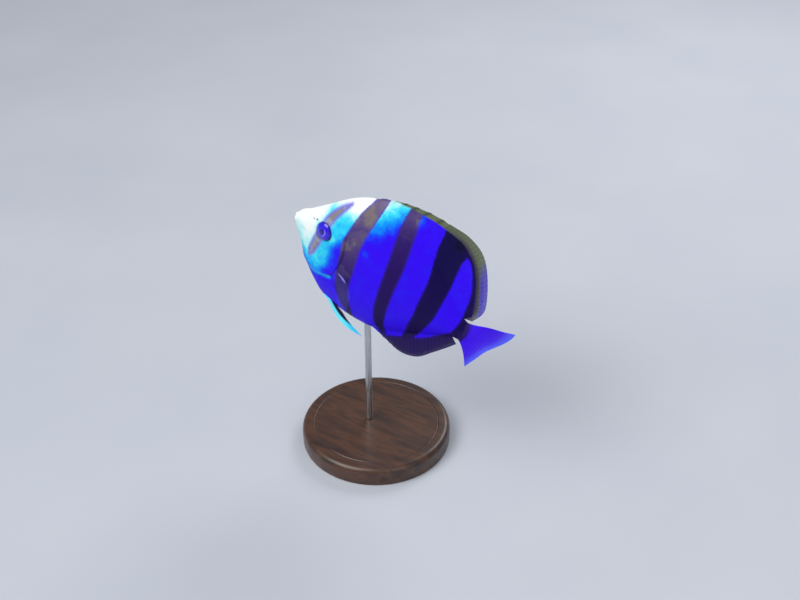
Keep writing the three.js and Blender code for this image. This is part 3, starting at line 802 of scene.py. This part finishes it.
# %% Scales up the bases of the dorsal and anal fins
def fin_scales(name, fin, gap, rearwards):
    """Columns along the fin's share and rows up its out, on both faces, to about half way out."""
    row_gap, last_row = 1.25 * gap, .62

    def speed(share):
        """How far the fin's middle moves for a share: the mean of its root's and its margin's speeds."""
        return sum(np.linalg.norm(fin[line](share + .01) - fin[line](share - .01), axis=-1) for line in
                   ("root", "margin")) / .04

    points, places = [], []
    for number, share in enumerate(spread_out(.03, .985, lambda share: gap / speed(share))):
        reach = np.linalg.norm(fin["margin"](np.array(share)) - fin["root"](np.array(share)))
        rows = (np.arange(40) + .5 * (number % 2) - 1) * row_gap / reach
        rows = rows[rows < last_row * smooth(reach, .03, .12)]
        size = (1 - .35 * np.maximum(rows, 0) / last_row)[:, None]
        out = rows[:, None] + plate_side * row_gap / reach * size + .35 * plate_reach * gap / reach
        along = share + rearwards * plate_reach * gap / speed(np.array(share)) * size
        for face in (1, -1):
            sheet = fin_sheet(fin, np.clip(along, 0, 1), out, face)
            lift = (plate_lift * gap - .01 * mm) * size
            turned_over = face * rearwards < 0
            sheet = (sheet + lift[..., None] * [0, 0, face]).reshape(-1, 5, 5, 3)
            points.append((sheet[:, :, ::-1] if turned_over else sheet).reshape(-1, plate_points, 3))
            places.append(np.stack([np.full(len(rows), share), rows * .45 + (.56 if face > 0 else .06)], -1))
    points, places = np.concatenate(points), np.concatenate(places)
    keep = past_olive(*points[:, tip_point, :2].T) < -.3 * mm
    return lay_plates(name, points[keep], places[keep], False)


scale_pieces.append(fin_scales("scales_dorsal", dorsal, 1.2 * mm, 1))
scale_pieces.append(fin_scales("scales_anal", anal, 1.15 * mm, -1))
print(sum(len(piece.data.vertices) // plate_points for piece in scale_pieces), "scales in all")

# %% [markdown]
# ## The eyes
# The eye is a flattened ball, turned a little forwards. It is one closed surface of revolution about the
# line it looks along. Each vertex keeps its place on the disc, so that the shader can draw
# pupil and iris as rings. A clear cornea over a sunk iris would be truer, but at this size one
# domed, wet surface reads the same and bakes cleanly.

# %% Two eyes
eye_size, eye_depth, eye_front, eye_out = (48, 96), 2.35, 1.12, 6.8
eye_up, eye_ahead = math.radians(5), math.radians(11)


def eye_surface(side):
    """Rings from the front pole to the back: radius by the sine, depth by the cosine of one angle."""
    angle = np.linspace(.02, np.pi - .02, eye_size[0])[:, None]
    turn = np.linspace(0, 2 * np.pi, eye_size[1], endpoint=False)[None, :]
    disc_x, disc_y = np.sin(angle) * np.cos(turn), np.sin(angle) * np.sin(turn)
    dome = 1 + (eye_front - 1) * bell(np.sin(angle), .5)
    depth = np.cos(angle) * np.where(np.cos(angle) > 0, dome, 1) * np.ones(turn.shape)
    disc, faces = capped(np.stack([disc_x, disc_y, depth], -1), [[0, 0, eye_front], [0, 0, -1]])
    x, y, z = (disc * [eye_radius, eye_radius, eye_depth] * mm).T
    y, z = turned_by(eye_up, y, z)
    z, x = turned_by(eye_ahead, z, x)
    return np.stack([x + eye_place[0], y + eye_place[1], side * (z + eye_out * mm)], -1), faces, disc


eye_pieces = []
for side, name in ((1, "left"), (-1, "right")):
    points, faces, disc = eye_surface(side)
    piece = make_mesh(f"eyeball_{name}", to_world(points), faces, {"disc": disc})
    if side > 0:
        piece.data.flip_normals()
    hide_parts(f"eye_{name}")
    eye_pieces.append(piece)

# %% [markdown]
# ## Lips
# The mouth is small, with two soft lips that roll out from its corners. Each lip is a round profile
# carried along a path from one corner round the tip of the snout to the other, thinner at the
# corners. It overlaps the skin and takes the same finish, so it reads as part of the head.

# %% Two rolled lips
mouth_half, lip_radius, lip_lift = .0275, 1.12 * mm, 1.09 * mm
corner_back, corner_drop = .037, .012


def lip_surface(above):
    """A circle carried along a path whose depth goes with the square of the distance from the middle."""
    across = np.linspace(-1, 1, 72)[:, None]
    turn = np.linspace(0, 2 * np.pi, 20, endpoint=False)[None, :]
    radius = lip_radius * (1 - .45 * across**4)
    lift = above * lip_lift
    x = -.001 + corner_back * across**2 + .62 * mm + np.cos(turn) * radius * np.cos(across * 1.1)
    y = -.002 - corner_drop * across**2 + lift * (1 - .7 * across**2) + np.sin(turn) * radius
    z = across * mouth_half * .95 - np.cos(turn) * radius * np.sin(across * 1.1)
    return np.stack([x, y, z], -1)


lip_pieces = []
for above, name in ((1, "upper"), (-1, "lower")):
    rings = lip_surface(above)
    points, faces = capped(rings, rings[[0, -1]].mean(axis=1))
    # A faint, even painted shade over the lips, through the same value as the head's creases.
    crease_shade = np.full(len(points), .06)
    piece = make_mesh(f"lip_{name}", to_world(points), faces, skin_fields(points, crease_shade))
    lip_pieces.append(piece)

# %% [markdown]
# ## Shader helpers
# A procedural material is a small sum worked out at every point. Joining its nodes one by one takes
# many lines and hides the sum. Here a Field stands for what a node gives, so that fields add and
# multiply as numbers do, and each sum puts its own node into the material that was opened last.
# Plain numbers and colours are set on the socket itself, so that the export can read them.

# %% Colours, and an open material
def paint(code):
    """A colour from its six-figure code, made linear: ((c + 0.055) / 1.055) to the power 2.4."""
    shares = np.array([int(code[i:i + 2], 16) / 255 for i in (0, 2, 4)])
    linear = np.where(shares <= .04045, shares / 12.92, ((shares + .055) / 1.055) ** 2.4)
    return (*linear.tolist(), 1)


def open_finish(name, **plain):
    """Start a material. Its plain values are set on the shader's sockets, and nodes now go into it."""
    global nodes, links, shader
    material = bpy.data.materials.new(name)
    material.use_nodes = True
    nodes, links = material.node_tree.nodes, material.node_tree.links
    shader = nodes["Principled BSDF"]
    for socket, value in plain.items():
        shader.inputs[socket.replace("_", " ")].default_value = value
    return material


print("white is", paint("ffffff"))


# %% Fields that add up like numbers
def add_node(kind, inputs, output=0, **options):
    """Add a node, set its options, and set or link its inputs. Gives back one of its outputs."""
    made = nodes.new(kind)
    for option, value in options.items():
        setattr(made, option, value)
    for socket, value in inputs.items():
        if isinstance(value, Field):
            links.new(value.socket, made.inputs[socket])
        else:
            made.inputs[socket].default_value = value
    return Field(made.outputs[output])


def work_out(operation, first, second=0):
    """One sum or comparison of two numbers."""
    return add_node("ShaderNodeMath", {0: first, 1: second}, operation=operation)


class Field:
    """What one output of a node gives at every point of the surface."""
    def __init__(self, socket):
        self.socket = socket

    def __add__(self, other):
        return work_out("ADD", self, other)

    def __sub__(self, other):
        return work_out("SUBTRACT", self, other)

    def __rsub__(self, other):
        return work_out("SUBTRACT", other, self)

    def __mul__(self, other):
        return work_out("MULTIPLY", self, other)


# %% Steps, mixes and patterns
def run(value, low, high, start, end):
    """A straight run of numbers: start where the value is low, end where it is high."""
    return add_node("ShaderNodeMapRange", {0: value, 1: low, 2: high, 3: start, 4: end})


def soft_step(value, low, high):
    """0 below low and 1 above high, with a soft rise between."""
    return add_node("ShaderNodeMapRange", {0: value, 1: low, 2: high}, interpolation_type="SMOOTHSTEP")


def mix(share, first, second, way="MIX"):
    """Two colours mixed by a share. A colour may be given by its code."""
    first, second = (paint(colour) if isinstance(colour, str) else colour for colour in (first, second))
    return add_node("ShaderNodeMix", {0: share, 6: first, 7: second}, 2, data_type="RGBA", blend_type=way)


def paint_ramp(value, *stops):
    """A run of colours over a number."""
    made = nodes.new("ShaderNodeValToRGB")
    elements = made.color_ramp.elements
    while len(elements) < len(stops):
        elements.new(.5)
    for element, (place, code) in zip(elements, stops):
        element.position, element.color = place, paint(code)
    links.new(value.socket, made.inputs[0])
    return Field(made.outputs[0])


def read_field(name):
    """The three numbers of a mesh attribute."""
    vector = add_node("ShaderNodeAttribute", {}, 1, attribute_name=name)
    apart = add_node("ShaderNodeSeparateXYZ", {0: vector})
    return [Field(output) for output in apart.socket.node.outputs]


def grain(scale, detail=3, stretch=(1, 1, 1)):
    """Noise on the object's own coordinates, so many waves a metre, centred on 0.5."""
    place = add_node("ShaderNodeMapping", {0: add_node("ShaderNodeTexCoord", {}, 3), 3: stretch})
    return add_node("ShaderNodeTexNoise", {"Vector": place, "Scale": scale, "Detail": detail})


def bump(height, distance, strength=.5, **below):
    """Raise the surface in the light by a height field, in metres, over any normal below it."""
    return add_node("ShaderNodeBump", {"Strength": strength, "Distance": distance, "Height": height} | below)


def join(**fields):
    """Link fields to the shader's sockets by name."""
    for socket, value in fields.items():
        links.new(value.socket, shader.inputs[socket.replace("_", " ")])


# %% [markdown]
# ## The colours of skin and scales
# Blue light falls on the fish, and the model keeps the colours that it makes. The head is white and
# turns through cyan to the violet blue of the flank. The bars go from grey khaki at the front to
# nearly black at the rear, with a thin violet rim. The ground colour runs along one field and each
# bar's colour along another, and a little noise clouds the ground and frays the edges, as pigment
# cells do. The skin is only a little glossy, because strong highlights would wash the blues out.

# %% Ground colour and bars
def fish_paint(shift=None):
    """The ground colour by its blue field, with the bars laid over it where the depth is above 0."""
    depth, shade, blue = read_field("markings")
    blue += (grain(170, 4) - .5) * .42
    if shift is not None:
        blue += shift
    ground = paint_ramp(blue, (.14, "f8fdfa"), (.28, "a4f6f8"), (.42, "38def6"), (.58, "069cf8"),
                        (.74, "1050f8"), (.88, "2818f8"), (1, "3400f6"))
    depth += (grain(700, 2) - .5) * .75
    bar = paint_ramp(shade, (0, "a6aabc"), (.06, "9498aa"), (.13, "82769a"), (.2, "6e6080"), (.3, "5a4a78"),
                     (.36, "4a3872"), (.42, "301a6a"), (.5, "26085e"), (.7, "180250"), (.9, "0a0044"),
                     (1, "03002a"))
    patches, pale = grain(95), soft_step(shade, .5, .2)
    khaki, indigo = soft_step(patches, .5, .62) * pale * .7, soft_step(patches, .47, .36) * pale * .6
    bar = mix(indigo, mix(khaki, bar, "847a6c"), "381c84")
    plain = soft_step(shade, .06, .13)
    rim = add_node("ShaderNodeClamp", {0: (1 - soft_step(depth, .1, 1.7)) * (.75 - shade * .8)})
    bar = mix(rim, bar, mix(plain, "7468f0", "3a1ed8"))
    edge = soft_step(depth, run(plain, 0, 1, -1.5, -.65), .6)
    return mix(edge, ground, bar), depth


skin_finish = open_finish("pearl_skin", Coat_Weight=.03, Coat_Roughness=.2, Specular_IOR_Level=.11)
shade_and_pores, variety, rear = read_field("tones")
colour, _ = fish_paint((variety - .5) * .07)
# Painted shade darkens the creases and holes of the head, and the lateral line's pores darken the plates that
# they cross.
colour = mix(shade_and_pores * .85, colour, "1c1450")
light = run(variety, 0, 1, .93, 1.03) + soft_step(rear, .6, 1) * .08
growth_rings = work_out("SINE", rear * 70)
join(Base_Color=mix(1, colour, light, "MULTIPLY"), Roughness=run(grain(900), .3, .7, .38, .55),
     Normal=bump(growth_rings, .000012, Normal=bump(grain(3200), .00003)))
for piece in (skin_piece, *lip_pieces, *scale_pieces):
    piece.data.materials.append(skin_finish)
print("skin finish has", len(nodes), "nodes")

# %% [markdown]
# ## Fin finishes
# A fin lets light through between its rays. The dorsal fin has a broad olive edge that fades to
# lavender at the rear, the anal fin is a dark violet, and the tail is violet blue with a paler rear
# edge. The same web field drives all: share along the root, way out to the edge, and the height of
# the ray. Alpha from nodes makes the membrane clear, because real glass would bend what lies behind.

# %% One finish for every fin
def fin_finish(name, looks, *pieces):
    """A membrane: looks gives its colour and how solid it is. Fine rings cross its glossier rays."""
    for piece in pieces:
        material = open_finish(name, Specular_IOR_Level=.14)
        share, out, ridge = read_field("web")
        colour, solid = looks(share, out, ridge)
        rings = work_out("SINE", out * 260) * ridge
        join(Base_Color=colour, Alpha=solid, Roughness=run(ridge, 0, 1, .5, .38),
             Normal=bump(rings, .00003, Normal=bump(grain(1500), .00005)))
        piece.data.materials.append(material)
    print(name, "has", len(nodes), "nodes")


# %% Dorsal and anal fins
def dorsal_looks(share, out, ridge):
    """Bars below, then the olive edge, darker next to the bars, and lavender beyond it at the rear.

    Solid over the scaled base, and clearer towards the edge, most at the rear."""
    from_edge, outside, rear = read_field("edge")
    base, _ = fish_paint()
    outside += grain(260) - .5
    inner = soft_step(outside, 3.2, .4) * soft_step(share, .35, .65)
    olive = mix(inner, mix(ridge, "6c7658", "4c5440"), "40364e")
    olive = mix(soft_step(outside, 1.5, 3.5) * rear, olive, mix(ridge, "4834c4", "3424a8"))
    web = 1 - (1 - soft_step(from_edge, 1, 9)) * run(share, .4, .85, .1, .4)
    return mix(soft_step(outside, -.45, .35), base, olive), work_out("MAXIMUM", web, ridge * .85)


def anal_looks(share, out, ridge):
    """Dark violet with greyer patches where the bars meet it, bluer in front. Nearly solid."""
    from_edge, _, _ = read_field("edge")
    base, depth = fish_paint()
    dark = mix(grain(130) * .4, mix(ridge, "200a62", "140446"), "403646")
    dark = mix(soft_step(share, .72, 1) * .6, dark, "2a08b0")
    return mix(soft_step(depth, .3, 2.5), base, dark), 1 - (1 - soft_step(from_edge, .5, 5)) * .2


fin_finish("olive_membrane", dorsal_looks, dorsal_piece)
fin_finish("dark_membrane", anal_looks, anal_piece)

# %% Tail, pectoral and pelvic fins
def tail_looks(share, out, ridge):
    """The stalk's bar at its very root, then violet blue, paler and half clear at the rear edge."""
    base, _ = fish_paint()
    web = mix(soft_step(out, .72, 1), mix(ridge, "4412ee", "3004da"), "4a58f6")
    solid = work_out("MAXIMUM", run(out, .3, 1, 1, .72), ridge * .85)
    return mix(soft_step(out, .02, .16), base, web), solid


def pectoral_looks(share, out, ridge):
    """Faintly violet and nearly clear, with a painted highlight: a pale, solid streak down the first rays."""
    highlight_streak = soft_step(share, .2, .08) * soft_step(out, .42, .25)
    solid = work_out("MAXIMUM", ridge * .1 + .03, highlight_streak * .9)
    root = .8 - soft_step(out, .01, .12)
    return mix(highlight_streak, mix(ridge, "4a3ad0", "8f88ee"), "a8a2fa"), work_out("MAXIMUM", solid, root)


def pelvic_looks(share, out, ridge):
    """A pale cyan spine and first rays, bluer at the tip, and a dark, clearer membrane behind them."""
    pale = mix(soft_step(out, .6, 1), mix(ridge, "50e4f6", "90f2fa"), "1cc4f4")
    return mix(soft_step(share, .4, .62), pale, mix(ridge, "1a1048", "100828")), run(share, .5, 1, 1, .8)


fin_finish("violet_membrane", tail_looks, tail_piece)
fin_finish("clear_membrane", pectoral_looks, *pectoral_pieces)
fin_finish("pelvic_membrane", pelvic_looks, *pelvic_pieces)

# %% [markdown]
# ## Wet eyes
# This fish's eye is dark violet blue all over, with a darker pupil and a thin bright ring round it.
# A pale crescent behind the pupil is a painted reflection. Radius and angle round the pupil, which
# sits a little ahead of the middle, draw all of these. A thin coat over a smooth surface gives the wet
# highlight.

# %% The eye's finish
eye_finish = open_finish(
    "wet_eye", Roughness=.2, Coat_Weight=.6, Coat_Roughness=.03, Specular_IOR_Level=.3)
disc_x, disc_y, _ = read_field("disc")
from_pupil = disc_x + .1
radius = work_out("SQRT", from_pupil * from_pupil + disc_y * disc_y)
angle = work_out("ARCTAN2", disc_y, from_pupil)
spokes = add_node("ShaderNodeCombineXYZ", {0: angle * 9, 1: radius})
spokes = add_node("ShaderNodeTexNoise", {"Vector": spokes, "Scale": 3.0, "Detail": 3})
wavy = radius + (spokes - .5) * .1
iris = paint_ramp(wavy, (0, "1a0c84"), (.28, "1c0e90"), (.4, "402ce4"), (.5, "3218dc"),
                  (.7, "2c10d8"), (.86, "280cc8"), (1, "1c0890"))
# Painted reflection: a pale arc over one side of the iris ring.
reflection_arc = soft_step(wavy, .33, .42) * soft_step(wavy, .55, .44) * soft_step(from_pupil, .08, .4)
join(Base_Color=mix(reflection_arc * .75, iris, "8c86fa"))
for piece in eye_pieces:
    piece.data.materials.append(eye_finish)
print("eye finish has", len(nodes), "nodes")

# %% [markdown]
# ## The stand
# A museum model stands on a turned base with a plain rod. The base is a profile spun about the upright
# axis, in finer steps than the solid's, with a shallow turned line near its rim. The rod is
# a cylinder whose ends are eased. Both stay within the solids they replace.

# %% Turned base and rod
base_radius, base_height, foot_radius, shoulder_radius = 46, 12, 1, 3.5
rod_radius, rod_ease, rod_middle = 2, .2, -.005


def spun(profile, turns, middle):
    """A profile of radius and height, in mm, spun about the upright line at x = middle, in metres."""
    radius, height = np.array(profile, float).T * .001
    turn = np.linspace(0, 2 * np.pi, turns, endpoint=False)[None, :]
    x, y = radius[:, None] * np.cos(turn) + middle, radius[:, None] * np.sin(turn)
    rings = np.stack([x, y, height[:, None] * np.ones(turn.shape)], -1)
    points, faces = capped(rings, [[middle, 0, height[0]], [middle, 0, height[-1]]])
    return points, [face[::-1] for face in faces]


def rounded(radius, height, angles):
    """Part of a quarter circle inside the rim, at angles from straight up, about a given height."""
    middle = base_radius - radius
    return [(middle + radius * math.sin(a), height + radius * math.cos(a)) for a in angles]


foot = rounded(foot_radius, foot_radius, np.linspace(math.pi, math.pi / 2, 6))
shoulder = rounded(shoulder_radius, base_height - shoulder_radius, np.linspace(math.pi / 2, 0, 12))
turned_line = [(39.2, 12), (39.0, 11.75), (38.6, 11.65), (38.2, 11.75), (38.0, 12)]
base_profile = [(2, 0), (30, 0), *foot, *shoulder, *turned_line, (20, base_height), (2, base_height)]
rod_low, rod_high = (1000 * corner[2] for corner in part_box("stand_rod"))
eased = rod_radius - rod_ease
rod_profile = [(.2, rod_low), (eased, rod_low), (rod_radius, rod_low + rod_ease),
               (rod_radius, rod_high - rod_ease), (eased, rod_high), (.2, rod_high)]
stand_pieces = []
for name, profile, turns_round, middle, slot in (
        ("turned_base", base_profile, 128, 0, "base_wood"),
        ("polished_rod", rod_profile, 48, rod_middle, "rod_steel")):
    piece = make_mesh(name, *spun(profile, turns_round, middle), {}, sharp=40)
    stand_pieces.append(piece)
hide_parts("stand_base")
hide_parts("stand_rod")

# %% Wood and steel
wood = open_finish("oiled_walnut", Coat_Weight=.3, Coat_Roughness=.2)
rings, fibres = grain(30, 4, (1, 5, 5)), grain(240, 4, (.08, 1.2, 1.2))
wood_colour = paint_ramp(rings, (.3, "2a1710"), (.48, "4a2c1c"), (.56, "5c3822"), (.7, "33200f"))
join(Base_Color=mix(fibres * .55, wood_colour, "1e100a"), Normal=bump(fibres, .00012),
     Roughness=run(fibres, 0, 1, .3, .55))
steel = open_finish("brushed_steel", Metallic=1.0)
scratches = grain(2600, 2, (1, 1, .03))
join(Base_Color=paint_ramp(scratches, (.3, "a6a9ad"), (.7, "d2d4d8")), Normal=bump(scratches, .00003, .4),
     Roughness=run(scratches, .3, .7, .22, .4))
for piece, material in zip(stand_pieces, (wood, steel)):
    piece.data.materials.append(material)
print("the rod is", round(rod_high - rod_low, 1), "mm long")

# %% [markdown]
# ## Studio
# The model stands on a plain pale floor under soft light. Wide area lamps give soft shadows and long,
# gentle highlights that show the form of the body, and a wide, weak sun lights the floor evenly. The
# camera looks down from the left of the fish and a little behind it, as the photograph does, through
# a 50 mm lens.

# %% Floor
floor_reach = 9
corners = [(floor_reach * x, floor_reach * y, 0) for x, y in ((-1, -1), (1, -1), (1, 1), (-1, 1))]
floor_mesh = bpy.data.meshes.new("floor")
floor_mesh.from_pydata(corners, [], [(0, 1, 2, 3)])
floor = put_in_scene("floor", floor_mesh)
floor_finish = open_finish("pale_floor", Roughness=.7)
join(Base_Color=paint_ramp(grain(6), (.3, "bcc1ca"), (.7, "c2c6ce")))
floor_mesh.materials.append(floor_finish)
print("the floor is", 2 * floor_reach, "m across")

# %% Lamps and surroundings
aim_height = .11
for kind, name, place, size, power in (
        ("AREA", "key", (-.35, -.75, 1.0), .7, 6.3), ("AREA", "fill", (.9, -.5, .7), .9, 2.6),
        ("AREA", "rim", (.1, .9, .8), .6, 4.5), ("SUN", "sky", (-.3, -.55, 1.0), math.radians(50), 1.2)):
    lamp = bpy.data.lights.new(name, kind)
    lamp.energy = power
    setattr(lamp, "angle" if kind == "SUN" else "size", size)
    holder = put_in_scene(name, lamp)
    holder.location = place
    down, level = place[2] - aim_height, math.hypot(place[0], place[1])
    holder.rotation_euler = (math.atan2(level, down), 0, math.atan2(place[0], -place[1]))

world = bpy.data.worlds.new("studio")
world.use_nodes = True
background = world.node_tree.nodes["Background"]
background.inputs["Color"].default_value = paint("dfe4ee")
background.inputs["Strength"].default_value = .33
bpy.context.scene.world = world
print(len(bpy.data.lights), "lamps, all aimed at the fish's height of", aim_height, "m")

# %% Camera
camera = put_in_scene("camera", bpy.data.cameras.new("camera"))
camera.data.lens, camera.data.sensor_width = 50, 36
camera.data.clip_start = .01
camera.location = (.279969, -.455336, .463305)
camera.rotation_euler = (math.radians(56), 0, math.radians(30))
bpy.context.scene.camera = camera
bpy.context.scene.view_settings.view_transform = "Standard"
print("the camera is at", [round(metres, 3) for metres in camera.location])
